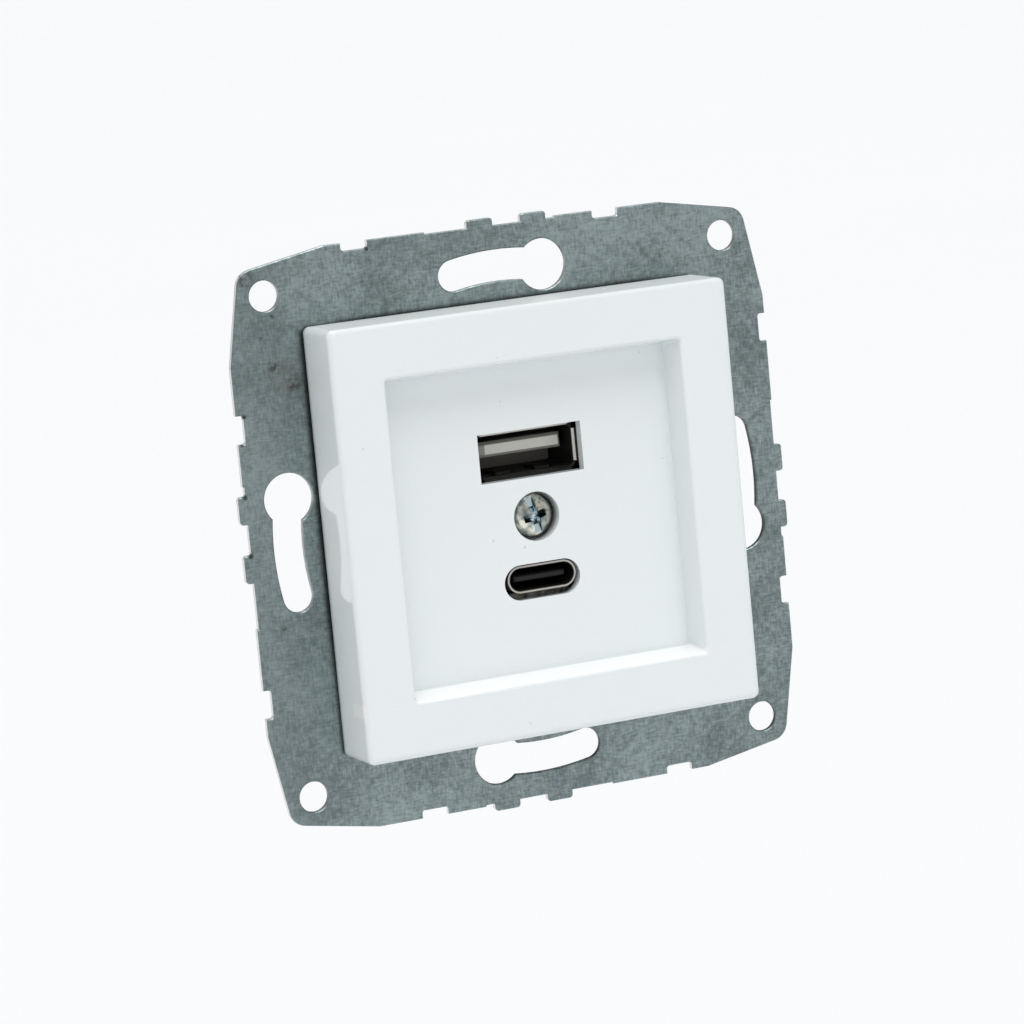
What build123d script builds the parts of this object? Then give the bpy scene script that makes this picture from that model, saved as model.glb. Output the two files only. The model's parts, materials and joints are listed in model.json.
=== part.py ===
from build123d import *
import os
from math import asin, cos, radians, sin

# A USB wall socket insert: stamped support plate, white cover and the charger module behind it.
# Millimetres. X runs to the right, Z up and +Y into the wall; the plate's back face lies at y = 0.

# Support plate
plate_thickness = 0.7
plate_margin = 1.9
plate_straight = 44.0
plate_corner_margin = 3.0
plate_corner_radius = 2.2
plate_edge_break = 0.12
tab_width = 3.35
tab_height = 0.75
tab_radius = 0.45
tab_offsets = (-1.8, 5.2)
notch_width = 3.4
notch_depth = 0.95
notch_radius = 0.35
notch_offsets = (-18.1, 14.7)
relief_width = 17.0
relief_depth = 0.2
relief_offset = -0.5
box_screw_circle = 60.0
keyhole_sweep = 22.5
keyhole_slot_width = 3.8
keyhole_head_diameter = 6.2
corner_hole_spacing = 60.0
corner_hole_diameter = 3.7

# Lugs bent back from the plate's cut-out, with the windows that hold the module
lug_side = 2.0
lug_web = 1.9
lug_radius = 1.5
lug_bend_radius = 0.4
lug_relief = 1.0
lug_play = 0.15
catch_front = 4.8
catch_width = 6.0
catch_length = 2.8
catch_play = 0.1
nose_height = 0.8

# Cover
cover_width = 51.6
cover_wall = 1.6
cover_gap = 0.5
cover_edge_radius = 0.5
cover_corner_radius = 0.8
cover_play = 0.3
recess_width = 38.5
recess_depth = 3.65
recess_taper = 0.75
recess_radius = 0.4
recess_wall = 1.4
recess_floor = 1.3
rim_radius = 0.45

# Cover screw and its insert
screw_thread = 3.0
screw_length = 6.0
screw_head_diameter = 5.5
screw_head_height = 1.9
screw_head_rim = 0.75
screw_head_sink = 0.25
screw_head_play = 0.22
screw_ledge = 1.0
screw_hole_play = 0.2
screw_slot_width = 1.0
screw_slot_depth = 0.85
screw_cross_span = 3.3
screw_cross_depth = 1.35
screw_turn = 13.0
thread_play = 0.05
boss_wall = 1.2
insert_diameter = 4.6
insert_length = 4.2
insert_groove_width = 0.8
insert_groove_depth = 0.3
tip_room = 0.5

# Ports
usb_a_gap = 0.58
usb_a_window_play = 0.2
usb_a_setback = 1.4
usb_a_width = 13.1
usb_a_height = 5.5
usb_a_wall = 0.3
usb_a_corner = 0.75
usb_a_lip_flare = 0.3
usb_a_lip_length = 0.55
usb_a_lip_gap = 0.8
usb_a_tongue_width = 11.1
usb_a_tongue_thickness = 1.84
usb_a_tongue_lift = 0.62
usb_a_tongue_setback = 2.1
usb_a_base = 2.4
usb_a_contact_width = 1.0
usb_a_contact_offsets = (-3.5, -1.0, 1.0, 3.5)
usb_a_spring_width = 1.9
usb_a_spring_length = 4.6
usb_a_spring_setback = 1.6
usb_a_spring_bend = 0.8
usb_a_spring_spread = 5.2
usb_a_spring_dip = 0.4
usb_c_gap = 1.4
usb_c_window_play = 0.5
usb_c_lift = 0.35
usb_c_setback = 0.15
usb_c_width = 8.94
usb_c_height = 3.26
usb_c_wall = 0.28
usb_c_tongue_width = 6.7
usb_c_tongue_thickness = 0.7
usb_c_tongue_setback = 0.8
usb_c_base = 2.4
usb_c_contact_count = 12
usb_c_contact_pitch = 0.5
usb_c_contact_width = 0.25
contact_thickness = 0.12
shell_play = 0.4
inner_play = 0.1
leg_width = 1.4
leg_tail = 0.9

# Module housing and rear cap
housing_wall = 1.5
housing_radius = 6.0
housing_play = 0.3
flange_thickness = 1.6
flange_radius = 1.5
collar_web = 1.0
corner_post_diameter = 4.4
rest_depth = 1.4
rest_width = 3.0
rest_heights = (8.0, -5.0)
cap_thickness = 2.0
cap_edge_radius = 0.7
cap_rim_height = 1.2
cap_rim_wall = 1.2
cap_play = 0.15
cap_screw_diameter = 2.2
cap_screw_length = 8.0
cap_screw_head_diameter = 3.2
cap_screw_head_height = 1.2
cap_screw_sink = 1.3
small_slot_width = 0.7
small_slot_depth = 0.45
pilot_play = 0.05

# Boards
board_thickness = 1.2
board_play = 0.5
port_screw_inset = 3.0
port_post_diameter = 4.6
port_board_gap = 1.4
port_screw_diameter = 2.0
port_screw_length = 5.0
port_screw_head_diameter = 3.6
port_screw_head_height = 1.2
tail_room = 2.1
stack_play = 2.3
link_pin_count = 4
link_pin_pitch = 1.5
link_pin_width = 0.5
link_strip_height = 2.5
link_inset = 1.2
link_drop = 1.4
link_tail = 0.9

# Charger parts on the boards
transformer_width = 13.0
transformer_height = 12.5
transformer_thickness = 6.0
transformer_leg = 2.2
transformer_core_leg = 3.4
transformer_rise = 11.5
winding_play = 0.4
bobbin_wall = 0.5
bobbin_flange = 0.9
bulk_capacitor_diameter = 8.0
bulk_capacitor_height = 12.0
output_capacitor_diameter = 6.3
output_capacitor_height = 9.0
capacitor_edge = 0.6
capacitor_groove = 0.35
rectifier_width = 3.9
rectifier_height = 4.7
rectifier_rise = 1.5
chip_width = 3.9
chip_height = 4.9
chip_rise = 1.5
port_chip_width = 4.0
port_chip_rise = 0.9
output_rectifier_width = 3.6
output_rectifier_height = 4.4
output_rectifier_rise = 1.4
fuse_diameter = 3.0
fuse_length = 7.0
inductor_diameter = 5.2
inductor_rise = 7.0
safety_capacitor_diameter = 6.4
safety_capacitor_thickness = 3.0
part_gap = 0.8
small_part_length = 1.6
small_part_width = 0.8
small_part_rise = 0.5

# Mains terminals
terminal_pitch = 7.6
terminal_wall = 1.2
terminal_play = 0.25
terminal_ledge = 1.0
terminal_screw_diameter = 3.0
terminal_screw_head_diameter = 5.0
terminal_screw_head_height = 1.6
terminal_head_play = 0.2
terminal_slot_width = 0.8
terminal_slot_depth = 0.8
driver_hole_diameter = 4.2
cage_width = 6.0
cage_length = 6.0
cage_wall = 0.9
cage_top = 2.4
cage_floor = 1.2
cage_travel = 2.5
wire_gap = 3.0
wire_entry_diameter = 3.2
wire_entry_funnel = 0.6
bar_width = 4.0
bar_thickness = 1.0
bar_play = 0.3
bar_pin_width = 1.6
bar_pin_tail = 0.9
bar_riser_inset = 2.5

# Depths worked out from the sizes above, from the room to the wall box
plate_front = -plate_thickness
flange_front = plate_front - flange_thickness
cover_base = plate_front - cover_gap
head_seat = flange_front - screw_ledge
floor_front = head_seat - screw_head_height - screw_head_sink
floor_back = floor_front + recess_floor
cover_front = floor_front - recess_depth
screw_tip = head_seat + screw_length
boss_end = screw_tip + tip_room + boss_wall
usb_a_front = floor_front + usb_a_setback
usb_c_front = floor_front + usb_c_setback
port_board_front = boss_end + port_board_gap
port_board_back = port_board_front + board_thickness
main_board_front = port_board_back + max(transformer_rise, bulk_capacitor_height) + stack_play
main_board_back = main_board_front + board_thickness
cap_inner = main_board_back + tail_room
cap_outer = cap_inner + cap_thickness
collar_back = catch_front + catch_length + collar_web

# Terminal block, as wide and high as its two chambers
chamber_width = cage_width + 2 * terminal_play
chamber_length = cage_length + 2 * terminal_play
terminal_width = terminal_pitch + chamber_width + 2 * terminal_wall
terminal_height = chamber_length + 2 * terminal_wall
terminal_xs = (-terminal_pitch / 2, terminal_pitch / 2)

# Module, as wide and high as what it holds: two columns of parts on the main board, above the terminals
riser_zone = bar_riser_inset + bar_thickness / 2 + part_gap
left_stack = transformer_height + safety_capacitor_thickness + output_capacitor_diameter + 2 * part_gap
right_stack = 2 * bulk_capacitor_diameter + inductor_diameter + 2 * part_gap
main_board_height = riser_zone + max(left_stack, right_stack) + board_play
columns_width = transformer_width + part_gap + bulk_capacitor_diameter + 2 * rest_depth
posts_width = terminal_width + 2 * (corner_post_diameter + terminal_play)
inner_width = max(columns_width + 2 * board_play, posts_width)
inner_height = terminal_height + main_board_height + 2 * board_play
body_width = inner_width + 2 * housing_wall
housing_width = inner_height + 2 * housing_wall

# Widths and heights worked out from the sizes above
plate_edge = box_screw_circle + keyhole_head_diameter + 2 * plate_margin
plate_corner_pitch = corner_hole_spacing + 2 * plate_corner_margin
lug_width = catch_width + 2 * lug_side
lug_length = catch_front + catch_length + lug_web
housing_half = housing_width / 2
inner_half = inner_width / 2
inner_top = inner_height / 2
flange_width = cover_width - 2 * cover_wall - 2 * cover_play
lug_inner = housing_half + lug_play
lug_outer = lug_inner + plate_thickness
lug_root = lug_outer + lug_bend_radius
screw_head_hole = screw_head_diameter + 2 * screw_head_play
boss_diameter = screw_head_hole + 2 * boss_wall
post_pitch_x = inner_width - corner_post_diameter
post_pitch_z = inner_height - corner_post_diameter
usb_a_window_width = usb_a_width + 2 * usb_a_window_play
usb_a_window_height = usb_a_height + 2 * usb_a_window_play
usb_a_z = boss_diameter / 2 + usb_a_gap + usb_a_window_height / 2
usb_c_window_width = usb_c_width + 2 * usb_c_window_play
usb_c_window_height = usb_c_height + 2 * usb_c_window_play
usb_c_window_z = -boss_diameter / 2 - usb_c_gap - usb_c_window_height / 2
usb_c_z = usb_c_window_z + usb_c_lift
link_z = usb_a_z + (usb_a_height + link_pin_pitch) / 2 + board_play
port_board_width = inner_width - 2 * (rest_depth + board_play)
port_board_height = 2 * (link_z + link_drop)
port_screw_x = port_board_width / 2 - port_screw_inset

# Terminal levels, from the cap inwards
terminal_head_back = cap_inner - terminal_head_play
terminal_head_seat = terminal_head_back - terminal_screw_head_height
chamber_back = terminal_head_seat - terminal_play - terminal_ledge
cage_back = chamber_back - terminal_play - cage_travel
bar_back = cage_back - cage_top - bar_play
bar_front = bar_back - bar_thickness
cage_floor_back = bar_front - wire_gap
cage_front = cage_floor_back - cage_floor
chamber_front = cage_front - terminal_play
terminal_front = chamber_front - terminal_wall
wire_level = (bar_front + cage_floor_back) / 2
terminal_bottom = -inner_top
terminal_z = terminal_bottom + terminal_height / 2
terminal_top = terminal_bottom + terminal_height

# Main board outline, above the terminals
main_board_width = inner_width - 2 * board_play
main_board_bottom = terminal_top + board_play
main_board_top = inner_top - board_play
main_board_z = (main_board_top + main_board_bottom) / 2
main_board_left = -main_board_width / 2
main_board_right = main_board_width / 2
bar_riser_z = main_board_bottom + bar_riser_inset


def facing(y):
    """Drawing plane parallel to the wall at depth y, seen from the room."""
    return Plane(origin=(0, y, 0), x_dir=(1, 0, 0), z_dir=(0, -1, 0))


def slab(sketch, front, back):
    """Solid that fills a wall-parallel sketch from y = front to y = back."""
    return facing(back) * extrude(sketch, amount=back - front)


def block(width, height, front, back, x=0, z=0):
    """Rectangular block between two depths."""
    return slab(Pos(x, z) * Rectangle(width, height), front, back)


def rod(diameter, front, back, x=0, z=0):
    """Round rod between two depths."""
    return slab(Pos(x, z) * Circle(diameter / 2), front, back)


def tapered(width, taper, front, back):
    """Square pocket that narrows from front to back by the taper on each side."""
    wide = facing(front) * RectangleRounded(width, width, recess_radius)
    narrow_width = width - 2 * taper
    narrow = facing(back) * RectangleRounded(narrow_width, narrow_width, recess_radius)
    return loft([wide.face(), narrow.face()])


def edges_at(solid, y):
    """Edges of a solid that lie wholly at one depth."""
    return solid.edges().filter_by_position(Axis.Y, y - 1e-4, y + 1e-4).filter_by(
        lambda edge: edge.bounding_box().size.Y < 1e-4)


def four_sides(solid):
    """The same feature on all four sides of the square, turned about the room axis."""
    return [Rot(0, 90 * turn, 0) * solid for turn in range(4)]


def four_corners(pitch_x, pitch_z):
    """Corner positions of a rectangular pattern."""
    return [(x, z) for x in (-pitch_x / 2, pitch_x / 2) for z in (-pitch_z / 2, pitch_z / 2)]


# Support plate

def plate_outline():
    """Blank's outline: straight edges that slope to rounded corners, with reliefs, notches and tabs."""
    edge = plate_edge / 2
    corner = plate_corner_pitch / 2
    side = [(-plate_straight / 2, edge), (plate_straight / 2, edge), (corner, corner)]
    points = [Vector(x, z).rotate(Axis.Z, -90 * turn) for turn in range(4) for x, z in side]
    outline = make_face(Polyline(*points, close=True))
    corners = [v for v in outline.vertices() if abs(abs(v.X) - abs(v.Y)) < 1e-3]
    outline = fillet(corners, plate_corner_radius)
    relief = Pos(relief_offset, edge) * Rectangle(relief_width, 2 * relief_depth)
    tab = RectangleRounded(tab_width, 2 * tab_height, tab_radius)
    notch = RectangleRounded(notch_width, 2 * notch_depth, notch_radius)
    for turn in range(4):
        outline -= Rot(0, 0, -90 * turn) * relief
        for offset in notch_offsets:
            outline -= Rot(0, 0, -90 * turn) * Pos(offset, edge) * notch
        for offset in tab_offsets:
            outline += Rot(0, 0, -90 * turn) * Pos(offset, edge) * tab
    return outline


def keyhole():
    """Arc slot on the box screw circle with the head hole at its clockwise end."""
    radius = box_screw_circle / 2
    half = keyhole_sweep / 2
    slot = SlotArc(CenterArc((0, 0), radius, 90 - half, keyhole_sweep), keyhole_slot_width)
    head = Pos(radius * sin(radians(half)), radius * cos(radians(half))) * Circle(keyhole_head_diameter / 2)
    return slot + head


def lug():
    """Right-hand lug, bent back from the cut-out's edge, with its catch window."""
    root = lug_root + lug_relief
    outer_bend = lug_bend_radius + plate_thickness
    front_run = Line((root, plate_front), (lug_root, plate_front))
    front_bend = CenterArc((lug_root, lug_bend_radius), outer_bend, 270, -90)
    end_run = Polyline((lug_inner, lug_bend_radius), (lug_inner, lug_length), (lug_outer, lug_length),
                       (lug_outer, lug_bend_radius))
    back_bend = CenterArc((lug_root, lug_bend_radius), lug_bend_radius, 180, 90)
    back_run = Polyline((lug_root, 0), (root, 0), (root, plate_front))
    profile = make_face([front_run, front_bend, end_run, back_bend, back_run])
    strip = Pos(0, 0, -lug_width / 2) * extrude(profile, amount=lug_width, dir=(0, 0, 1))
    ends = strip.edges().filter_by(Axis.X).group_by(Axis.Y)[-1]
    strip = fillet(ends, lug_radius)
    window_x = (lug_inner + lug_outer) / 2
    window = block(2 * plate_thickness, catch_width, catch_front, catch_front + catch_length, window_x)
    return strip - window


def mounting_plate():
    """Stamped plate with keyholes, corner holes, cut-out and the four lugs."""
    cut_out = RectangleRounded(housing_width + 2 * housing_play, housing_width + 2 * housing_play,
                               housing_radius + housing_play)
    relief_reach = 2 * lug_root + lug_relief
    relief = Rectangle(relief_reach, lug_width + 2 * lug_relief)
    sketch = plate_outline() - cut_out - relief - Rot(0, 0, 90) * relief
    for turn in range(4):
        sketch -= Rot(0, 0, -90 * turn) * keyhole()
    for x, z in four_corners(corner_hole_spacing, corner_hole_spacing):
        sketch -= Pos(x, z) * Circle(corner_hole_diameter / 2)
    blank = slab(sketch, plate_front, 0)
    blank = chamfer(edges_at(blank, plate_front), plate_edge_break)
    return blank + four_sides(lug())


# Cover and its screw

def cover():
    """White cover: skirt, front rim, sunk field with the port windows, and the screw boss behind it."""
    outer = slab(RectangleRounded(cover_width, cover_width, cover_corner_radius), cover_front, cover_base)
    outer = fillet(edges_at(outer, cover_front), cover_edge_radius)
    inside = cover_width - 2 * cover_wall
    hollow = slab(RectangleRounded(inside, inside, cover_corner_radius), cover_front + cover_wall, cover_base)
    back_taper = recess_taper * (floor_back - cover_front) / recess_depth
    field = tapered(recess_width + 2 * recess_wall, back_taper, cover_front, floor_back)
    pocket = tapered(recess_width, recess_taper, cover_front, floor_front)
    body = outer - pocket
    between = (recess_width + cover_width) / 4
    rim = edges_at(body, cover_front).filter_by(lambda e: max(abs(e.center().X), abs(e.center().Z)) < between)
    body = fillet(rim, rim_radius)
    body -= hollow - field
    body += rod(boss_diameter, floor_back, flange_front)
    body -= rod(screw_head_hole, floor_front, head_seat)
    body -= rod(screw_thread + 2 * screw_hole_play, head_seat, flange_front)
    body -= block(usb_a_window_width, usb_a_window_height, floor_front, floor_back, 0, usb_a_z)
    port = Pos(0, usb_c_window_z) * SlotOverall(usb_c_window_width, usb_c_window_height)
    return body - slab(port, floor_front, floor_back)


def screw(head_diameter, head_height, head_rim, shank_diameter, length):
    """Pan-head screw along Y: bearing face at y = 0, head towards the room, tip into the wall."""
    head = head_diameter / 2
    shank = shank_diameter / 2
    tip = shank / 3
    sides = Polyline((0, length), (shank - tip, length), (shank, length - tip), (shank, 0), (head, 0),
                     (head, -head_rim))
    rise = head_height - head_rim
    dome_radius = (head ** 2 + rise ** 2) / (2 * rise)
    halfway = asin(head / dome_radius) / 2
    crest = (dome_radius * sin(halfway), dome_radius * (1 - cos(halfway)) - head_height)
    dome = ThreePointArc((head, -head_rim), crest, (0, -head_height))
    axis = Line((0, -head_height), (0, length))
    return revolve(make_face([sides, dome, axis]), Axis.Y)


def slot_cut(width, depth, span, head_height):
    """Screwdriver slot across a head."""
    return block(width, span, -head_height, -head_height + depth)


def small_screw(head_diameter, head_height, shank_diameter, length):
    """Slotted self-tapping screw along Y, head towards the wall box."""
    body = screw(head_diameter, head_height, head_height / 2, shank_diameter, length)
    body -= slot_cut(small_slot_width, small_slot_depth, head_diameter, head_height)
    return Rot(180, 0, 0) * body


def cover_screw():
    """Zinc-plated cover screw with a combined slot and cross recess, at the angle it was tightened to."""
    body = screw(screw_head_diameter, screw_head_height, screw_head_rim, screw_thread, screw_length)
    cuts = slot_cut(screw_slot_width, screw_slot_depth, screw_head_diameter, screw_head_height)
    mouth = facing(-screw_head_height) * Rectangle(screw_cross_span, screw_slot_width)
    point_width = screw_slot_width / 2
    point = facing(-screw_head_height + screw_cross_depth) * Rectangle(screw_cross_span / 2, point_width)
    wing = loft([mouth.face(), point.face()])
    cuts += wing + Rot(0, 90, 0) * wing
    return Pos(0, head_seat, 0) * Rot(0, -screw_turn, 0) * (body - cuts)


def threaded_insert():
    """Brass insert in the housing's boss, with two grooves that lock it in the plastic."""
    back = flange_front + insert_length
    body = rod(insert_diameter, flange_front, back)
    ring = Circle(insert_diameter / 2) - Circle(insert_diameter / 2 - insert_groove_depth)
    for share in (0.3, 0.7):
        middle = flange_front + share * insert_length
        body -= slab(ring, middle - insert_groove_width / 2, middle + insert_groove_width / 2)
    return body - rod(screw_thread + 2 * thread_play, flange_front, back)


# Ports

def usb_a_section(shrink=0.0):
    """Rounded section of the USB-A shell, or of what fits inside it."""
    return Pos(0, usb_a_z) * RectangleRounded(usb_a_width - 2 * shrink, usb_a_height - 2 * shrink,
                                              max(usb_a_corner - shrink, 0.1))


def lip(run, half):
    """One flared front lip: a strip that leans outwards from the shell's front edge."""
    root = usb_a_front + usb_a_lip_length
    flared = half + usb_a_lip_flare
    profile = Polyline((root, half), (usb_a_front, flared), (usb_a_front, flared - usb_a_wall),
                       (root, half - usb_a_wall), close=True)
    return extrude(Plane.YZ * make_face(profile), amount=run / 2, both=True)


def spring(half):
    """One contact spring of the shell: a strip that dips inwards from its root at the back."""
    tip = usb_a_front + usb_a_spring_setback
    bend = tip + usb_a_spring_bend
    root = tip + usb_a_spring_length
    tip_half = half - usb_a_spring_dip / 2
    bend_half = half - usb_a_spring_dip
    profile = Polyline((root, half), (bend, bend_half), (tip, tip_half), (tip, tip_half - usb_a_wall),
                       (bend, bend_half - usb_a_wall), (root, half - usb_a_wall), close=True)
    return extrude(Plane.YZ * make_face(profile), amount=usb_a_spring_width / 2, both=True)


def spring_window(half):
    """Opening in the shell wall that frees one spring."""
    front = usb_a_front + usb_a_spring_setback - usb_a_wall
    back = front + usb_a_spring_length
    return block(usb_a_spring_width + 2 * usb_a_wall, 2 * usb_a_wall, front, back, 0, half - usb_a_wall / 2)


def leg_places(width, z, offsets, side_wall):
    """Places of a shell's solder legs, in line with its two side walls."""
    side = (width - side_wall) / 2
    return [(x, z + offset) for x in (-side, side) for offset in offsets]


usb_a_legs = leg_places(usb_a_width, usb_a_z, (-usb_a_height / 4, usb_a_height / 4), usb_a_wall)
usb_c_legs = leg_places(usb_c_width, usb_c_z, (0,), usb_c_wall)


def legs(places, side_wall):
    """Solder legs of a shell, through the port board."""
    front = port_board_front - leg_width
    return [block(side_wall, leg_width, front, port_board_back + leg_tail, x, z) for x, z in places]


def usb_a_shell():
    """Folded steel shell with flared lips, contact springs and solder legs."""
    straight_front = usb_a_front + usb_a_lip_length
    body = slab(usb_a_section() - usb_a_section(usb_a_wall), straight_front, port_board_front)
    half_height = usb_a_height / 2
    long_lip = lip(usb_a_width - 2 * usb_a_lip_gap, half_height)
    short_lip = lip(usb_a_height - 2 * usb_a_lip_gap, usb_a_width / 2)
    lips = []
    for flip in (0, 180):
        lips.append(Pos(0, 0, usb_a_z) * Rot(0, flip, 0) * long_lip)
        lips.append(Pos(0, 0, usb_a_z) * Rot(0, 90 + flip, 0) * short_lip)
        for x in (-usb_a_spring_spread / 2, usb_a_spring_spread / 2):
            place = Pos(x, 0, usb_a_z) * Rot(0, flip, 0)
            body -= place * spring_window(half_height)
            body += place * spring(half_height)
    return body + lips + legs(usb_a_legs, usb_a_wall)


def usb_a_tongue():
    """Moulded insulator: the block at the back of the shell and the tongue that carries the contacts."""
    fit = usb_a_wall + inner_play
    base = slab(usb_a_section(fit), port_board_front - usb_a_base, port_board_front)
    front = usb_a_front + usb_a_tongue_setback
    tongue = block(usb_a_tongue_width, usb_a_tongue_thickness, front, port_board_front - usb_a_base,
                   0, usb_a_z + usb_a_tongue_lift)
    nose = edges_at(tongue, front)
    tongue = chamfer(nose, usb_a_tongue_thickness / 5)
    body = base + tongue
    for contact in usb_a_contact_pieces(inner_play):
        body -= contact
    return body


def usb_a_contact_pieces(play=0.0):
    """Contact strips under the tongue, with a tail each through the port board."""
    under = usb_a_z + usb_a_tongue_lift - usb_a_tongue_thickness / 2
    front = usb_a_front + usb_a_tongue_setback + usb_a_contact_width
    tail = port_board_back + leg_tail
    width = usb_a_contact_width + 2 * play
    pin_width = usb_a_contact_width / 2 + 2 * play
    height = contact_thickness + 2 * play
    pieces = []
    for x in usb_a_contact_offsets:
        strip = block(width, height, front, port_board_front, x, under)
        pieces.append(strip + block(pin_width, height, port_board_front, tail, x, under))
    return pieces


def usb_a_contacts():
    """The four contacts of the USB-A port."""
    return Part() + usb_a_contact_pieces()


def usb_c_section(shrink=0.0):
    """Obround section of the USB-C shell, or of what fits inside it."""
    return Pos(0, usb_c_z) * SlotOverall(usb_c_width - 2 * shrink, usb_c_height - 2 * shrink)


def usb_c_shell():
    """Drawn steel shell of the USB-C port with solder legs."""
    body = slab(usb_c_section() - usb_c_section(usb_c_wall), usb_c_front, port_board_front)
    return body + legs(usb_c_legs, usb_c_wall)


def usb_c_tongue():
    """Moulded insulator of the USB-C port with its thin tongue."""
    base = slab(usb_c_section(usb_c_wall + inner_play), port_board_front - usb_c_base, port_board_front)
    front = usb_c_front + usb_c_tongue_setback
    back = port_board_front - usb_c_base
    tongue = block(usb_c_tongue_width, usb_c_tongue_thickness, front, back, 0, usb_c_z)
    tongue = chamfer(edges_at(tongue, front), usb_c_tongue_thickness / 5)
    body = base + tongue
    for contact in usb_c_contact_pieces(inner_play / 4):
        body -= contact
    return body


def usb_c_contact_pieces(play=0.0):
    """Two rows of flat contacts, set into the faces of the USB-C tongue."""
    front = usb_c_front + 2 * usb_c_tongue_setback
    row_length = (usb_c_contact_count - 1) * usb_c_contact_pitch
    pieces = []
    for side in (-1, 1):
        z = usb_c_z + side * usb_c_tongue_thickness / 2
        for n in range(usb_c_contact_count):
            x = n * usb_c_contact_pitch - row_length / 2
            pieces.append(block(usb_c_contact_width + 2 * play, contact_thickness + 2 * play, front - play,
                                port_board_front, x, z))
    return pieces


def usb_c_contacts():
    """The contacts of the USB-C port."""
    return Part() + usb_c_contact_pieces()


# Module housing and rear cap

def snap_nose():
    """Right-hand snap nose: flat towards the room, ramped towards the wall box."""
    front = catch_front + catch_play
    back = catch_front + catch_length - catch_play
    root = housing_half - housing_wall / 2
    crest = housing_half + nose_height
    profile = Polyline((root, front), (crest, front), (crest, front + nose_height / 2), (housing_half, back),
                       (root, back), close=True)
    width = catch_width - 4 * catch_play
    return Pos(0, 0, -width / 2) * extrude(make_face(profile), amount=width, dir=(0, 0, 1))


def wire_entry(x):
    """Funnel-mouthed hole for one mains wire, up through the housing's floor into the terminal block."""
    top = terminal_bottom + terminal_wall
    depth = housing_wall + terminal_wall
    hole = Pos(x, wire_level, top - depth / 2) * Cylinder(wire_entry_diameter / 2, depth)
    mouth = Pos(x, wire_level, -housing_half + wire_entry_funnel / 2) * Rot(180, 0, 0) * Cone(
        wire_entry_diameter / 2, wire_entry_diameter / 2 + wire_entry_funnel, wire_entry_funnel)
    return hole + mouth


def module_housing():
    """Black housing: flange over the plate, collar in the cut-out, body, posts, rests and snap noses."""
    flange = slab(RectangleRounded(flange_width, flange_width, flange_radius), flange_front, plate_front)
    inner_radius = housing_radius - housing_wall
    collar = RectangleRounded(housing_width, housing_width, housing_radius)
    collar -= RectangleRounded(inner_height, inner_height, inner_radius)
    box = RectangleRounded(body_width, housing_width, housing_radius)
    inside = slab(RectangleRounded(inner_width, inner_height, inner_radius), plate_front, cap_inner)
    body = slab(collar, plate_front, collar_back) + slab(box, plate_front, cap_inner)
    body = flange + (body - inside)
    for x, z in four_corners(post_pitch_x, post_pitch_z):
        post = rod(corner_post_diameter, plate_front, cap_inner, x, z)
        pilot = cap_screw_diameter + 2 * pilot_play
        body += post - rod(pilot, cap_inner - cap_screw_length, cap_inner, x, z)
    rest_x = inner_half - rest_depth / 2
    for z in rest_heights:
        for x in (-rest_x, rest_x):
            body += block(rest_depth, rest_width, plate_front, main_board_front, x, z)
    for x in terminal_xs:
        body += block(housing_wall, terminal_height / 2, plate_front, terminal_front, x,
                      terminal_bottom + terminal_height / 4)
    for x in (-port_screw_x, port_screw_x):
        post = rod(port_post_diameter, plate_front, port_board_front, x)
        pilot = port_screw_diameter + 2 * pilot_play
        body += post - rod(pilot, port_board_back - port_screw_length, port_board_front, x)
    body += rod(insert_diameter + 2 * housing_wall, plate_front, boss_end)
    body -= rod(insert_diameter, flange_front, flange_front + insert_length)
    body -= rod(screw_thread + 2 * screw_hole_play, flange_front, screw_tip + tip_room)
    body -= slab(usb_a_section(-shell_play), flange_front, plate_front)
    body -= slab(usb_c_section(-shell_play), flange_front, plate_front)
    for x in terminal_xs:
        body -= wire_entry(x)
    return body + four_sides(snap_nose())


def rear_cap():
    """Cap that closes the housing: locating rim, board pegs, screw counterbores and driver holes."""
    body = slab(RectangleRounded(body_width, housing_width, housing_radius), cap_inner, cap_outer)
    body = fillet(edges_at(body, cap_outer), cap_edge_radius)
    rim_width = inner_width - 2 * cap_play
    rim_height = inner_height - 2 * cap_play
    rim_radius_out = housing_radius - housing_wall - cap_play
    rim = RectangleRounded(rim_width, rim_height, rim_radius_out)
    rim -= RectangleRounded(rim_width - 2 * cap_rim_wall, rim_height - 2 * cap_rim_wall,
                            rim_radius_out - cap_rim_wall)
    for x, z in four_corners(post_pitch_x, post_pitch_z):
        rim -= Pos(x, z) * Circle(corner_post_diameter / 2 + cap_play)
    rim -= Pos(0, terminal_z) * Rectangle(terminal_width + 2 * cap_play, terminal_height + 2 * cap_play)
    body += slab(rim, cap_inner - cap_rim_height, cap_inner)
    peg_x = inner_half - cap_play - rest_depth / 2
    for z in rest_heights:
        for x in (-peg_x, peg_x):
            body += block(rest_depth, rest_width, main_board_back, cap_inner, x, z)
    well = cap_screw_head_diameter + 2 * screw_head_play
    for x, z in four_corners(post_pitch_x, post_pitch_z):
        body -= rod(cap_screw_diameter + 2 * screw_hole_play, cap_inner, cap_outer, x, z)
        body -= rod(well, cap_outer - cap_screw_sink, cap_outer, x, z)
    for x in terminal_xs:
        body -= rod(driver_hole_diameter, cap_inner, cap_outer, x, terminal_z)
    return body


def cap_screws():
    """Four self-tapping screws that hold the cap to the corner posts."""
    length = cap_screw_length - tip_room
    one = small_screw(cap_screw_head_diameter, cap_screw_head_height, cap_screw_diameter, length)
    seat = cap_outer - cap_screw_sink
    return Part() + [Pos(x, seat, z) * one for x, z in four_corners(post_pitch_x, post_pitch_z)]


# Boards and what is on them

def link_places():
    """Places of the pins that link the two boards, in a row along the port board's upper left edge."""
    first = -port_board_width / 2 + link_inset
    return [(first + n * link_pin_pitch, link_z) for n in range(link_pin_count)]


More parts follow.
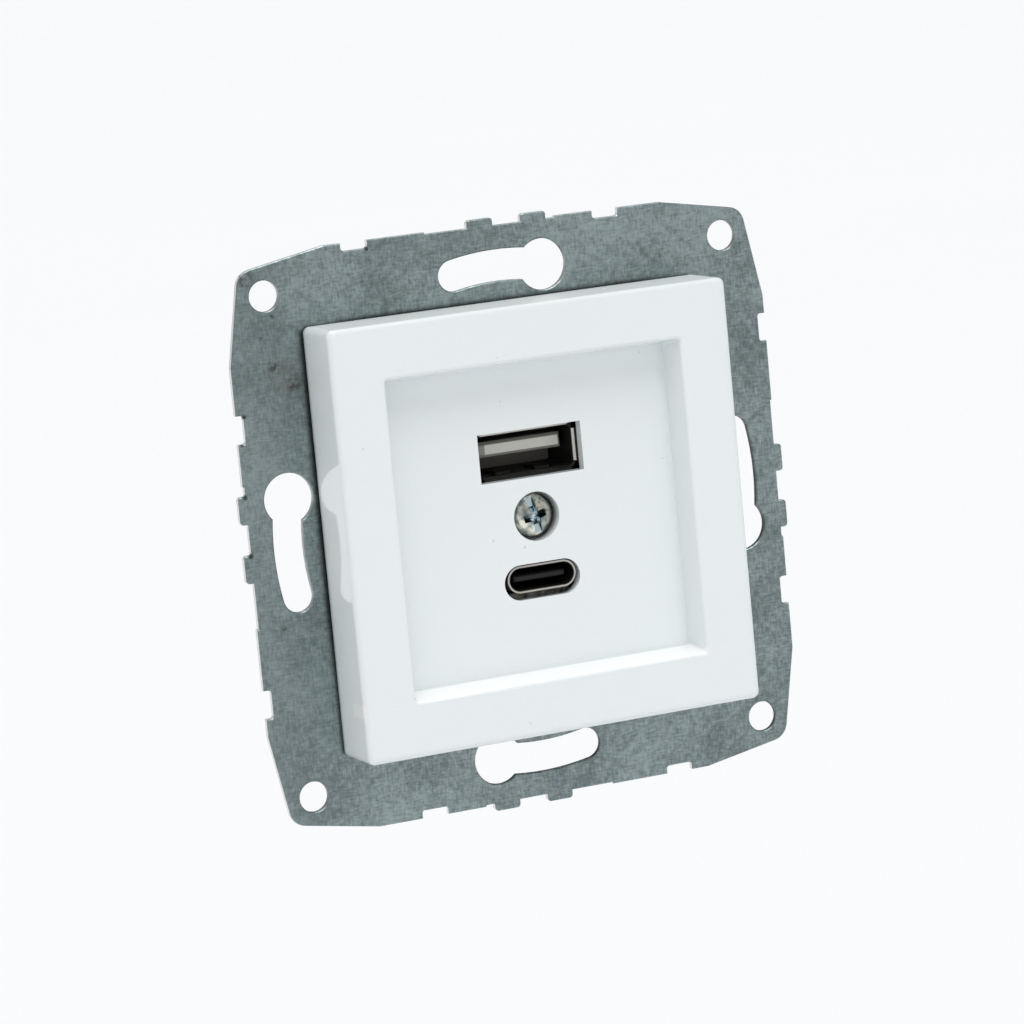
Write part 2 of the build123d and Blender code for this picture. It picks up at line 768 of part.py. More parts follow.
def port_board():
    """Front board that carries both ports, screwed to two posts of the housing."""
    sketch = Rectangle(port_board_width, port_board_height)
    for x in (-port_screw_x, port_screw_x):
        sketch -= Pos(x, 0) * Circle(port_screw_diameter / 2 + screw_hole_play)
    hole = link_pin_width + 2 * inner_play
    for x, z in link_places():
        sketch -= Pos(x, z) * Rectangle(hole, hole)
    board = slab(sketch, port_board_front, port_board_back)
    slot_width = usb_a_wall + 2 * inner_play
    slot_height = leg_width + 2 * inner_play
    for x, z in usb_a_legs + usb_c_legs:
        board -= block(slot_width, slot_height, port_board_front, port_board_back, x, z)
    for contact in usb_a_contact_pieces(inner_play):
        board -= contact
    return board


def port_board_screws():
    """Two self-tapping screws that hold the port board to its posts."""
    length = port_screw_length - tip_room
    one = small_screw(port_screw_head_diameter, port_screw_head_height, port_screw_diameter, length)
    return Part() + [Pos(x, port_board_back, 0) * one for x in (-port_screw_x, port_screw_x)]


def link_pins():
    """Square pins that carry the low voltage from the main board to the port board."""
    front = port_board_front - link_tail
    back = main_board_back + link_tail
    return Part() + [block(link_pin_width, link_pin_width, front, back, x, z) for x, z in link_places()]


def link_strip():
    """Plastic strip that holds the link pins on the port board."""
    places = link_places()
    middle = (places[0][0] + places[-1][0]) / 2
    strip = block(link_pin_count * link_pin_pitch, link_pin_pitch, port_board_back,
                  port_board_back + link_strip_height, middle, places[0][1])
    hole = link_pin_width + inner_play
    for x, z in places:
        strip -= block(hole, hole, port_board_back, port_board_back + link_strip_height, x, z)
    return strip


def main_board():
    """Rear board with the mains converter, resting on the housing's ribs."""
    sketch = Pos(0, main_board_z) * Rectangle(main_board_width, main_board_height)
    for x in (main_board_left, main_board_right):
        sketch -= Pos(x, main_board_top) * Rectangle(2 * corner_post_diameter, 2 * corner_post_diameter)
    hole = link_pin_width + 2 * inner_play
    for x, z in link_places():
        sketch -= Pos(x, z) * Rectangle(hole, hole)
    pin_slot = Rectangle(bar_pin_width + 2 * inner_play, bar_thickness + 2 * inner_play)
    for x in terminal_xs:
        sketch -= Pos(x, bar_riser_z) * pin_slot
    return slab(sketch, main_board_front, main_board_back)


parts_bottom = main_board_bottom + riser_zone
transformer_x = main_board_left + rest_depth + transformer_width / 2
transformer_z = parts_bottom + transformer_height / 2
transformer_top = parts_bottom + transformer_height
transformer_middle = main_board_front - transformer_rise / 2
window_width = (transformer_width - 2 * transformer_leg - transformer_core_leg) / 2
window_height = transformer_height - 2 * transformer_leg
bobbin_width = transformer_core_leg + 2 * bobbin_wall
bobbin_depth = transformer_thickness + 2 * bobbin_wall


def transformer_core():
    """Ferrite core: an outer frame with a middle leg."""
    front = transformer_middle - transformer_thickness / 2
    back = transformer_middle + transformer_thickness / 2
    body = block(transformer_width, transformer_height, front, back, transformer_x, transformer_z)
    offset = (transformer_core_leg + window_width) / 2
    for x in (transformer_x - offset, transformer_x + offset):
        body -= block(window_width, window_height, front, back, x, transformer_z)
    return body


def transformer_bobbin():
    """Bobbin on the core's middle leg, with end flanges that stand on the main board."""
    play = inner_play
    half_hole = transformer_thickness / 2 + play
    hole = block(transformer_core_leg + 2 * play, window_height, transformer_middle - half_hole,
                 transformer_middle + half_hole, transformer_x, transformer_z)
    half_tube = bobbin_depth / 2 + play
    tube = block(bobbin_width + 2 * play, window_height - 2 * play, transformer_middle - half_tube,
                 transformer_middle + half_tube, transformer_x, transformer_z)
    span = transformer_core_leg + 2 * window_width - 2 * play
    top = main_board_front - transformer_rise
    flange_z = (window_height - bobbin_flange) / 2 - play
    for z in (transformer_z - flange_z, transformer_z + flange_z):
        tube += block(span, bobbin_flange, top, main_board_front, transformer_x, z)
    return tube - hole


def transformer_winding():
    """Taped winding between the bobbin's flanges."""
    play = 2 * inner_play
    length = window_height - 2 * bobbin_flange - 4 * inner_play
    width = transformer_core_leg + 2 * window_width - 2 * play
    front = main_board_front - transformer_rise + winding_play
    back = main_board_front - winding_play
    body = block(width, length, front, back, transformer_x, transformer_z)
    body = fillet(body.edges().filter_by(Axis.Z), width / 4)
    return body - block(bobbin_width + 2 * play, length, transformer_middle - bobbin_depth / 2 - play,
                        transformer_middle + bobbin_depth / 2 + play, transformer_x, transformer_z)


def capacitor(diameter, height, x, z):
    """Electrolytic can standing on the main board, with the groove near its base and a rounded top."""
    top = main_board_front - height
    body = rod(diameter, top, main_board_front, x, z)
    body = fillet(edges_at(body, top), capacitor_edge)
    ring = Pos(x, z) * (Circle(diameter / 2) - Circle(diameter / 2 - capacitor_groove))
    groove_front = main_board_front - 3 * capacitor_edge
    return body - slab(ring, groove_front, groove_front + capacitor_edge)


bulk_x = main_board_right - rest_depth - bulk_capacitor_diameter / 2
bulk_lower_z = parts_bottom + bulk_capacitor_diameter / 2
bulk_upper_z = bulk_lower_z + bulk_capacitor_diameter + part_gap
bulk_top = bulk_upper_z + bulk_capacitor_diameter / 2


def bulk_capacitors():
    """Two high-voltage capacitors, one above the other beside the transformer."""
    upper = capacitor(bulk_capacitor_diameter, bulk_capacitor_height, bulk_x, bulk_upper_z)
    lower = capacitor(bulk_capacitor_diameter, bulk_capacitor_height, bulk_x, bulk_lower_z)
    return Part() + [upper, lower]


def output_capacitor():
    """Low-voltage capacitor at the board's upper edge, beside the link pins."""
    x = link_places()[-1][0] + link_pin_width / 2 + part_gap + output_capacitor_diameter / 2
    z = main_board_top - board_play - output_capacitor_diameter / 2
    return capacitor(output_capacitor_diameter, output_capacitor_height, x, z)


def safety_capacitor():
    """Disc capacitor that bridges the isolation gap, standing on edge above the transformer."""
    x = transformer_x + (transformer_width - safety_capacitor_diameter) / 2
    y = main_board_front - safety_capacitor_diameter / 2
    z = transformer_top + (part_gap + safety_capacitor_thickness) / 2
    body = Pos(x, y, z) * Cylinder(safety_capacitor_diameter / 2, safety_capacitor_thickness)
    return fillet(body.edges().filter_by(GeomType.CIRCLE), safety_capacitor_thickness / 3)


def filter_inductor():
    """Drum inductor above the bulk capacitors: two flanges on a waist."""
    x = bulk_x - (bulk_capacitor_diameter - inductor_diameter) / 2
    z = bulk_top + part_gap + inductor_diameter / 2
    waist = inductor_diameter - 2 * capacitor_groove
    flange = inductor_rise / 6
    top = main_board_front - inductor_rise
    body = rod(inductor_diameter, top, top + flange, x, z)
    body += rod(inductor_diameter, main_board_front - flange, main_board_front, x, z)
    return body + rod(waist, top + flange, main_board_front - flange, x, z)


def fuse_resistor():
    """Fusible resistor standing upright beside the right busbar, with its end caps."""
    x = main_board_right - rest_depth - fuse_diameter / 2
    z = main_board_bottom + part_gap / 2 + fuse_diameter / 2
    top = main_board_front - fuse_length
    cap_length = fuse_diameter / 2
    body = rod(fuse_diameter - 2 * contact_thickness, top, main_board_front, x, z)
    body += rod(fuse_diameter, top, top + cap_length, x, z)
    return body + rod(fuse_diameter, main_board_front - cap_length, main_board_front, x, z)


def chip(width, height, rise, x, z, back):
    """Moulded package lying on the back of a board, with its upper edges broken."""
    body = block(width, height, back, back + rise, x, z)
    return chamfer(edges_at(body, back + rise), rise / 6)


def bridge_rectifier():
    """Bridge rectifier on the main board's back, behind the bulk capacitors."""
    return chip(rectifier_width, rectifier_height, rectifier_rise, bulk_x, bulk_lower_z, main_board_back)


def controller_chip():
    """Converter chip on the main board's back, behind the transformer."""
    return chip(chip_width, chip_height, chip_rise, transformer_x, transformer_z, main_board_back)


def output_rectifier():
    """Output rectifier on the main board's back, above the converter chip."""
    z = transformer_z + (chip_height + output_rectifier_height) / 2 + part_gap
    return chip(output_rectifier_width, output_rectifier_height, output_rectifier_rise, transformer_x, z,
                main_board_back)


def port_controller():
    """Charging controller on the back of the port board, behind the screw boss."""
    return chip(port_chip_width, port_chip_width, port_chip_rise, 0, 0, port_board_back)


def chip_parts():
    """Small chip resistors and capacitors round the port controller."""
    step = port_chip_width / 2 + part_gap + small_part_length / 4
    pieces = []
    for x in (-step, step):
        for z in (-small_part_length, 0, small_part_length):
            pieces.append(block(small_part_length, small_part_width, port_board_back,
                                port_board_back + small_part_rise, x, z))
    return Part() + pieces


# Mains terminals

def terminal_block():
    """Insulating block with one chamber for each cage, screw wells, wire entries and bar slots."""
    body = block(terminal_width, terminal_height, terminal_front, cap_inner, 0, terminal_z)
    well = terminal_screw_head_diameter + 2 * terminal_play
    for x in terminal_xs:
        body -= block(chamber_width, chamber_length, chamber_front, chamber_back, x, terminal_z)
        body -= rod(terminal_screw_diameter + 2 * terminal_play, chamber_back, cap_inner, x, terminal_z)
        body -= rod(well, terminal_head_seat - terminal_play, cap_inner, x, terminal_z)
        body -= wire_entry(x)
        body -= block(bar_width + 2 * bar_play, 2 * terminal_wall + 2 * bar_play, bar_front - inner_play,
                      bar_back + inner_play, x, terminal_top)
    return body


def cage(x):
    """Rising cage: a strap with a thick threaded end, open along the wire."""
    body = block(cage_width, cage_length, cage_front, cage_back, x, terminal_z)
    body = fillet(body.edges().filter_by(Axis.Z), cage_wall / 2)
    top_front = cage_back - cage_top
    body -= block(cage_width - 2 * cage_wall, cage_length, cage_floor_back, top_front, x, terminal_z)
    return body - rod(terminal_screw_diameter + 2 * thread_play, top_front, cage_back, x, terminal_z)


def terminal_screw(x):
    """Captive terminal screw whose tip bears on the busbar."""
    length = terminal_head_seat - bar_back - thread_play
    one = screw(terminal_screw_head_diameter, terminal_screw_head_height, terminal_screw_head_height / 2,
                terminal_screw_diameter, length)
    one -= slot_cut(terminal_slot_width, terminal_slot_depth, terminal_screw_head_diameter,
                    terminal_screw_head_height)
    return Pos(x, terminal_head_seat, terminal_z) * Rot(180, 0, 0) * one


def busbar(x):
    """Fixed contact bar through the cage, turned up into a pin that is soldered to the main board."""
    low = terminal_z - chamber_length / 2 + terminal_play
    length = bar_riser_z + bar_thickness / 2 - low
    body = block(bar_width, length, bar_front, bar_back, x, low + length / 2)
    body += block(bar_width, bar_thickness, bar_front, main_board_front, x, bar_riser_z)
    tail = main_board_back + bar_pin_tail
    return body + block(bar_pin_width, bar_thickness, main_board_front, tail, x, bar_riser_z)


pieces = {
    "mounting_plate": mounting_plate(),
    "cover": cover(),
    "cover_screw": cover_screw(),
    "threaded_insert": threaded_insert(),
    "usb_a_shell": usb_a_shell(),
    "usb_a_tongue": usb_a_tongue(),
    "usb_a_contacts": usb_a_contacts(),
    "usb_c_shell": usb_c_shell(),
    "usb_c_tongue": usb_c_tongue(),
    "usb_c_contacts": usb_c_contacts(),
    "module_housing": module_housing(),
    "rear_cap": rear_cap(),
    "cap_screws": cap_screws(),
    "port_board": port_board(),
    "port_board_screws": port_board_screws(),
    "link_pins": link_pins(),
    "link_strip": link_strip(),
    "main_board": main_board(),
    "transformer_core": transformer_core(),
    "transformer_bobbin": transformer_bobbin(),
    "transformer_winding": transformer_winding(),
    "bulk_capacitors": bulk_capacitors(),
    "output_capacitor": output_capacitor(),
    "bridge_rectifier": bridge_rectifier(),
    "controller_chip": controller_chip(),
    "output_rectifier": output_rectifier(),
    "fuse_resistor": fuse_resistor(),
    "filter_inductor": filter_inductor(),
    "safety_capacitor": safety_capacitor(),
    "port_controller": port_controller(),
    "chip_parts": chip_parts(),
    "terminal_block": terminal_block(),
}
for side, x in zip(("left", "right"), terminal_xs):
    pieces[f"{side}_terminal_screw"] = terminal_screw(x)
    pieces[f"{side}_cage"] = cage(x)
    pieces[f"{side}_busbar"] = busbar(x)

os.makedirs("parts", exist_ok=True)
for name, piece in pieces.items():
    export_step(piece, f"parts/{name}.step")
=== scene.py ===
# %% [markdown]
# # A USB wall socket on its support plate
# The socket is a white cover with a sunk field, held by one screw over a black charger module, and a
# galvanised plate carries both on the wall. Its solids come ready made from the CAD model, in metres, with
# +X to the right, +Z up and +Y into the wall. They could be modelled again here, but then two models would
# have to agree, so this lesson keeps the solids as a fixed frame and gives them finishes, light and a camera.

# %% Load the solids
import json
from math import cos, radians, sin

import bmesh
import bpy
from mathutils import Matrix, Vector

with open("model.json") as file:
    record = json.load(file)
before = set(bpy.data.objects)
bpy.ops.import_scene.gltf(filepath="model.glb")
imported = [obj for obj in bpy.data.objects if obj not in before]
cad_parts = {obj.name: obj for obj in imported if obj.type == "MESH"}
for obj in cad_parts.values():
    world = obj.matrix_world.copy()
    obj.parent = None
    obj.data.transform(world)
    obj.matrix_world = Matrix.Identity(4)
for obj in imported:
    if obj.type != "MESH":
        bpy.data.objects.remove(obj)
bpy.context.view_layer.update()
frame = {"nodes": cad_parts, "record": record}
nodes = frame["nodes"]
slot_of = {part["node"]: part["material_slot"] for part in frame["record"]["subparts"]}
mm = 0.001
print(len(nodes), "solids with", len(set(slot_of.values())), "finishes")

# %% [markdown]
# ## The camera
# The photograph looks at the socket from its left and a little from above, through a long lens, and the
# camera was held slightly askew. A track constraint could aim the camera, but a plain matrix from a place, an
# aim and a roll stays put when the view is moved later.

# %% Place the camera
camera_place = Vector((-0.21664, -0.50160, 0.07988))
camera_aim = Vector((-0.00316, -0.00545, 0.00096))
camera_roll = radians(-5.3675)
camera_data = bpy.data.cameras.new("photo_camera")
camera_data.sensor_width = 36.0
camera_data.lens = 160.945
camera_data.clip_start = 0.01
camera = bpy.data.objects.new("photo_camera", camera_data)
bpy.context.collection.objects.link(camera)
sight = camera_aim - camera_place
turn = sight.to_track_quat("-Z", "Y").to_matrix().to_4x4()
camera.matrix_world = Matrix.Translation(camera_place) @ turn @ Matrix.Rotation(camera_roll, 4, "Z")
bpy.context.scene.camera = camera
print("camera", round(sight.length, 3), "m from its aim")

# %% [markdown]
# ## The floor
# The photograph has no visible ground, only an even pale tone. A floor close under the socket would catch its
# shadow, so the floor is a wide pale disc far enough below that nothing of the shadow comes into the picture.

# %% Make the floor
floor_drop = 0.32
floor_radius = 40.0
floor_sides = 96
floor_mesh = bpy.data.meshes.new("floor")
bm = bmesh.new()
bmesh.ops.create_circle(bm, cap_ends=True, segments=floor_sides, radius=floor_radius)
bmesh.ops.translate(bm, vec=(0, 0, -floor_drop), verts=bm.verts)
bm.to_mesh(floor_mesh)
bm.free()
floor = bpy.data.objects.new("floor", floor_mesh)
bpy.context.collection.objects.link(floor)
print("floor", floor_drop, "m below the socket's middle")

# %% [markdown]
# ## Shader sums written as Python
# A finish is a small graph of nodes, and wiring it by hand hides what it computes. Here one class wraps a
# socket so that `0.4 * streaks + 0.6 * bloom` adds the Math nodes itself, and a second one has the method
# that adds any other node.

# %% A socket that does arithmetic
class Value:
    """An output socket; arithmetic on it adds Math nodes to its graph."""

    def __init__(self, graph, socket):
        self.graph = graph
        self.socket = socket

    def maths(self, operation, first, second):
        return self.graph.node("ShaderNodeMath", {"operation": operation}, {0: first, 1: second})

    def __add__(self, other):
        return self.maths("ADD", self, other)

    def __radd__(self, other):
        return self.maths("ADD", other, self)

    def __sub__(self, other):
        return self.maths("SUBTRACT", self, other)

    def __rsub__(self, other):
        return self.maths("SUBTRACT", other, self)

    def __mul__(self, other):
        return self.maths("MULTIPLY", self, other)

    def __rmul__(self, other):
        return self.maths("MULTIPLY", other, self)

    def __pow__(self, other):
        return self.maths("POWER", self, other)


class Graph:
    """A node tree and the one method that adds nodes to it."""

    def __init__(self, tree):
        self.tree = tree

    def feed(self, socket, value):
        if isinstance(value, Value):
            self.tree.links.new(value.socket, socket)
        else:
            socket.default_value = value

    def node(self, kind, settings=None, inputs=None, output=0):
        made = self.tree.nodes.new(kind)
        for name, setting in (settings or {}).items():
            setattr(made, name, setting)
        for name, value in (inputs or {}).items():
            self.feed(made.inputs[name], value)
        return Value(self, made.outputs[output])


# %% [markdown]
# A finish is the graph of one material. Its patterns read Object coordinates, which are the solids' own
# metres, so a grain keeps its real size on every piece. `noise` takes a number of grains per metre along each
# axis, and `between` and `band` turn a value into a mask with soft steps.

# %% A finish and its nodes
class Finish(Graph):
    """A material, its shader and the patterns that feed it."""

    def __init__(self, name):
        self.material = bpy.data.materials.new(name)
        self.material.use_nodes = True
        super().__init__(self.material.node_tree)
        self.shader = self.tree.nodes["Principled BSDF"]
        self.place = self.node("ShaderNodeTexCoord", output="Object")

    def surface(self, **inputs):
        for name, value in inputs.items():
            self.feed(self.shader.inputs[name.replace("_", " ")], value)

    def axes(self):
        return [self.node("ShaderNodeSeparateXYZ", {}, {0: self.place}, axis) for axis in "XYZ"]

    def mapped(self, scale, location=(0, 0, 0)):
        return self.node("ShaderNodeMapping", {}, {
            "Vector": self.place, "Scale": scale, "Location": location})

    def noise(self, per_metre, detail=2.0, rough=0.5, location=(0, 0, 0)):
        scale = per_metre if isinstance(per_metre, tuple) else (per_metre,) * 3
        return self.node("ShaderNodeTexNoise", {}, {
            "Vector": self.mapped(scale, location), "Scale": 1.0, "Detail": detail, "Roughness": rough})

    def between(self, value, low, high):
        return self.node("ShaderNodeMapRange", {"interpolation_type": "SMOOTHSTEP"}, {
            "Value": value, "From Min": low, "From Max": high})

    def band(self, value, rise, fall):
        return self.between(value, *rise) * (1 - self.between(value, *fall))

    def blend(self, mask, first, second):
        return self.node("ShaderNodeMix", {"data_type": "RGBA"}, {0: mask, 6: first, 7: second}, 2)

    def bump(self, grain, depth, strength, normal=None):
        inputs = {"Height": grain, "Distance": depth, "Strength": strength}
        if normal:
            inputs["Normal"] = normal
        return self.node("ShaderNodeBump", {}, inputs, "Normal")


# %% [markdown]
# A stain, a lip in painted shade or a speck of dust belongs at a place on its solid. A painted picture could
# put it there, but a distance from the mark's middle needs no picture and stays sharp in a close view. The
# main places are measured on the meshes with `side`, so that they follow the solids.

# %% Colours, marks and dressing
mark_core = 0.3


def rgb(red, green, blue):
    return (red, green, blue, 1.0)


def larger(first, second):
    return first.maths("MAXIMUM", first, second)


def marks(finish, places):
    """A mask over round marks, each given as x, z and radius in millimetres, that fade outside their core."""
    mask = 0.0
    for x, z, radius in places:
        centred = finish.mapped((1, 0, 1), (-x * mm, 0, -z * mm))
        away = finish.node("ShaderNodeVectorMath", {"operation": "LENGTH"}, {0: centred}, "Value")
        mask = mask + (1 - finish.between(away, mark_core * radius * mm, radius * mm))
    return mask


def side(name, axis, pick):
    """The lowest (min) or highest (max) place of a solid along X, Y or Z, in metres."""
    return pick(vertex.co["XYZ".index(axis)] for vertex in nodes[name].data.vertices)


def dress(finish, *slots):
    """Give a finish to every solid that is named, or whose slot is."""
    dressed = [name for name, slot in slot_of.items() if slot in slots or name in slots]
    for name in dressed:
        mesh = nodes[name].data
        mesh.materials.clear()
        mesh.materials.append(finish.material)
    print(finish.material.name, "on", ", ".join(dressed))


# %% [markdown]
# ## Galvanised sheet
# The plate is stamped from zinc-coated strip: a satin grey with a cloth-like mottle, because the coating is
# rolled along the strip and scuffed across it. A photograph would be the quick way, but noise stretched along
# X and along Z gives the same weave at any size. The left side gets a little painted shade.

# %% Weave the zinc
plate = Finish("galvanised_sheet")
reach, depth, height = plate.axes()
along = plate.noise((900, 1400, 3600), detail=3.0, rough=0.6)
upright = plate.noise((3600, 1400, 1000), detail=3.0, rough=0.6)
bloom = plate.noise(900, detail=4.0, rough=0.6)
clouds = plate.noise(80, detail=3.0)
weave = 0.36 * along + 0.36 * upright + 0.28 * bloom
# painted shade: the zinc is darker towards the left edge
left_shade = 1 - plate.between(reach, -32 * mm, -22 * mm)
tone = plate.between(0.75 * weave + 0.25 * clouds, 0.38, 0.62) * (1 - 0.3 * left_shade)
dark_zinc = rgb(0.15, 0.188, 0.188)
light_zinc = rgb(0.34, 0.405, 0.405)
sheet = plate.blend(tone, dark_zinc, light_zinc)
print("zinc from", dark_zinc[:3], "to", light_zinc[:3])

# %% [markdown]
# Cut edges have lost their zinc. The sheared outline shows bare, bright metal, and the rims of the punched
# holes get painted shade, lighter towards the upper left and darkest towards the lower right. The edge faces
# could have a finish of their own, but the depth between the sheet's two sides finds every cut edge at once.

# %% Bare the cut edges
plate_front = side("mounting_plate", "Y", min)
plate_reach = side("mounting_plate", "X", max)
holes_reach = plate_reach - 3.05 * mm
cut = plate.band(depth, (plate_front + 0.1 * mm, plate_front + 0.2 * mm), (-0.1 * mm, -0.03 * mm))
pierced = 1 - plate.between(
    larger(reach ** 2, height ** 2), holes_reach ** 2, (holes_reach + 0.1 * mm) ** 2)
# painted shade: the holes' rims are dark towards the lower right and lighter towards the upper left
rim_lit_side = plate.between(height - reach, -30 * mm, 20 * mm)
hole_rim_shade = plate.blend(rim_lit_side, rgb(0.05, 0.055, 0.06), rgb(0.40, 0.41, 0.41))
sheet = plate.blend(cut * 0.9, sheet, plate.blend(pierced, rgb(0.88, 0.88, 0.86), hole_rim_shade))
print("sheet", round(-plate_front / mm, 2), "mm thick")

# %% [markdown]
# Handling has left a few stains and one rusty patch on the front face, and near-black spots sit at some
# corners of the edge's notches. They could be scattered by a noise alone, but a few chosen places look more
# like wear.
# The stains and the rust are broken up by noise, because a round outline would look drawn.

# %% Stain the front
# Each mark is its x, z and radius in millimetres.
smudges = [(-32.1, 32.3, 1.3), (-29.2, 27.6, 0.5), (-31.0, 25.1, 0.4), (-29.6, 21.6, 1.2),
           (-27.4, 19.3, 1.3), (-31.7, -9.3, 0.5), (24.6, 30.2, 0.5)]
# near-black spots at some corners of the edge's notches
notch_spots = [(-34.9, 6.8, 0.45), (-34.9, -0.2, 0.45), (-34.0, 16.2, 0.35), (-34.6, 13.0, 0.35),
        (-16.6, 34.0, 0.35)]
rust_patch = [(-28.4, 20.6, 3.2)]
front_face = 1 - plate.between(depth, plate_front + 0.02 * mm, plate_front + 0.08 * mm)
stain = front_face * marks(plate, smudges) * plate.between(plate.noise(1300, detail=3.0), 0.38, 0.6)
flakes = plate.between(plate.noise(700, detail=4.0, rough=0.6, location=(3, 0, 5)), 0.42, 0.6)
rust = front_face * marks(plate, rust_patch) * flakes
sheet = plate.blend(rust * 0.5, sheet, rgb(0.21, 0.19, 0.18))
sheet = plate.blend(stain * 0.75, sheet, rgb(0.055, 0.05, 0.045))
sheet = plate.blend(marks(plate, notch_spots) * 0.9, sheet, rgb(0.02, 0.02, 0.02))
print(len(smudges), "stains and", len(notch_spots), "notch_spots")

# %% [markdown]
# A painted shadow lies where the cover meets the plate and draws a dark line along the cover's top and left.
# Ambient occlusion could darken that joint by itself, but it would darken all four sides alike, so two bands
# follow the cover's edge and fade out where the line does.

# %% Paint shadow into the joint and finish the plate
cover_reach = side("cover", "X", max)
top_joint_shadow = plate.band(height, (cover_reach - 0.6 * mm, cover_reach - 0.4 * mm),
                      (cover_reach, cover_reach + 0.7 * mm))
top_joint_shadow = top_joint_shadow * (1 - plate.between(reach ** 2, (17 * mm) ** 2, (24 * mm) ** 2))
left_joint_shadow = plate.band(reach, (-cover_reach - 0.9 * mm, -cover_reach),
                       (-cover_reach + 0.4 * mm, -cover_reach + 0.6 * mm))
left_joint_shadow = left_joint_shadow * plate.band(height, (-24 * mm, -4 * mm),
                                   (cover_reach - 0.8 * mm, cover_reach - 0.2 * mm))
# painted shadow: the plate darkens in the joint along the cover's top and left
sheet = plate.blend((top_joint_shadow + left_joint_shadow) * front_face * 0.7, sheet, rgb(0.03, 0.034, 0.034))
plate.surface(Base_Color=sheet, Metallic=1.0 - 0.4 * stain, Roughness=0.46 - 0.12 * tone + 0.3 * stain,
              Normal=plate.bump(weave, 0.02 * mm, 0.5))
dress(plate, "galvanised_steel")

# %% [markdown]
# ## White cover
# The cover is glossy moulded plastic, a white with a cool cast. One plain white would look like paper, so the
# colour drifts a little. The well around the screw head gets painted shade that darkens with depth, while the
# lower wall of the sunk field is painted whiter, a painted highlight for the light that falls on it.

# %% Colour the cover
white = Finish("white_moulding")
reach, depth, height = white.axes()
cover_front = side("cover", "Y", min)
field_depth = 3.65 * mm
field_floor = cover_front + field_depth
field_reach = 18.5 * mm
well_radius = 3.0 * mm
drift = white.noise(45)
clean = white.blend(drift, rgb(0.80, 0.848, 0.855), rgb(0.82, 0.868, 0.874))
from_screw = (reach ** 2 + height ** 2) ** 0.5
# painted shade: the screw's well darkens with depth
well_shade = (1 - white.between(from_screw, well_radius, well_radius + 0.1 * mm)) * white.between(
    depth, field_floor + 0.15 * mm, field_floor + 1.25 * mm)
clean = white.blend(well_shade * 0.5, clean, rgb(0.12, 0.12, 0.118))
# painted highlight: the upward-facing lower wall of the sunk field is painted whiter
low = white.band(height, (-field_reach - 2.0 * mm, -field_reach - 1.5 * mm),
                 (-field_reach - 0.1 * mm, -field_reach))
sunk = white.band(depth, (cover_front + 0.05 * mm, cover_front + 0.2 * mm),
                  (field_floor - 0.15 * mm, field_floor - 0.05 * mm))
clean = white.blend(low * sunk, clean, rgb(0.90, 0.905, 0.905))
print("sunk field", round(field_depth / mm, 2), "mm deep, cover", round(2 * cover_reach / mm, 2), "mm wide")

# %% [markdown]
# The gloss has the faint waviness of a moulding, a few dust specks sit on the front, and fine dust dulls the
# top wall. The outer edges look rounder than their solid. More faces could round them, but the solid stays as
# it is, so a Bevel node bends the shading near those edges. Its radius is zero further in, because the ports'
# windows and the sunk field have crisp edges.

# %% Finish the cover
# Each speck is its x, z and radius in millimetres.
grains = [(-22.8, 11.6, 0.16), (-4.8, 20.0, 0.14), (-18.6, -5.2, 0.14), (17.2, 4.6, 0.14),
          (15.4, 17.8, 0.15), (-3.4, 14.3, 0.15), (-5.9, -2.1, 0.2), (-1.9, -3.5, 0.22), (-4.9, -24.0, 0.16)]
in_front = 1 - white.between(depth, field_floor + 0.1 * mm, field_floor + 0.2 * mm)
speck = marks(white, grains) * in_front
dusty = white.between(height, cover_reach - 0.3 * mm, cover_reach - 0.02 * mm)
edge_start = cover_reach - 3.3 * mm
edge_radius = 0.9 * mm
outer = white.between(larger(reach ** 2, height ** 2), edge_start ** 2, (edge_start + 0.5 * mm) ** 2)
soft_edge = white.node("ShaderNodeBevel", {}, {"Radius": edge_radius * outer})
ripple = white.noise(260)
white.surface(Base_Color=white.blend(speck * 0.4, clean, rgb(0.25, 0.24, 0.22)),
              Roughness=0.05 + 0.04 * drift + 0.3 * speck + 0.2 * dusty, IOR=1.6,
              Coat_Weight=0.35 - 0.35 * dusty, Coat_Roughness=0.03,
              Normal=white.bump(ripple, 0.004 * mm, 0.6, soft_edge))
dress(white, "white_plastic")

# %% [markdown]
# ## Plated metals
# Screws, shells, cages and pins are all metal with a thin plating. Each could have its own graph, but they
# differ mostly in tone, so one function makes the family: a base tone that drifts, drawing lines along the
# depth axis, and a roughness that follows them. The zinc on the screws is passivated, so its tone wanders
# between a bluish and a straw-coloured film.

# %% A plated metal
def plated(name, dull, bright, roughness, shade=None, relief=0.4, metallic=1.0):
    metal = Finish(name)
    cloud = metal.noise(600, detail=3.0)
    lines = metal.noise((2600, 260, 2600))
    tone = metal.blend(metal.between(cloud, 0.38, 0.62), dull, bright)
    if shade:
        tone = shade(metal, tone)
    metal.surface(Base_Color=tone, Metallic=metallic, Roughness=roughness + 0.14 * lines,
                  Normal=metal.bump(lines, 0.006 * mm, relief))
    return metal


dress(plated("passivated_zinc", rgb(0.50, 0.56, 0.62), rgb(0.70, 0.66, 0.50), 0.22), "zinc_plate")
dress(plated("nickel_plating", rgb(0.60, 0.58, 0.54), rgb(0.68, 0.66, 0.62), 0.18), "nickel_plate")
dress(plated("turned_brass", rgb(0.62, 0.42, 0.16), rgb(0.74, 0.54, 0.24), 0.24), "brass")
dress(plated("gold_flash", rgb(0.30, 0.21, 0.09), rgb(0.42, 0.30, 0.13), 0.3), "contact_metal")
dress(plated("tinned_wire", rgb(0.62, 0.62, 0.60), rgb(0.74, 0.73, 0.70), 0.28),
      "tinned_pin", "tinned_copper")

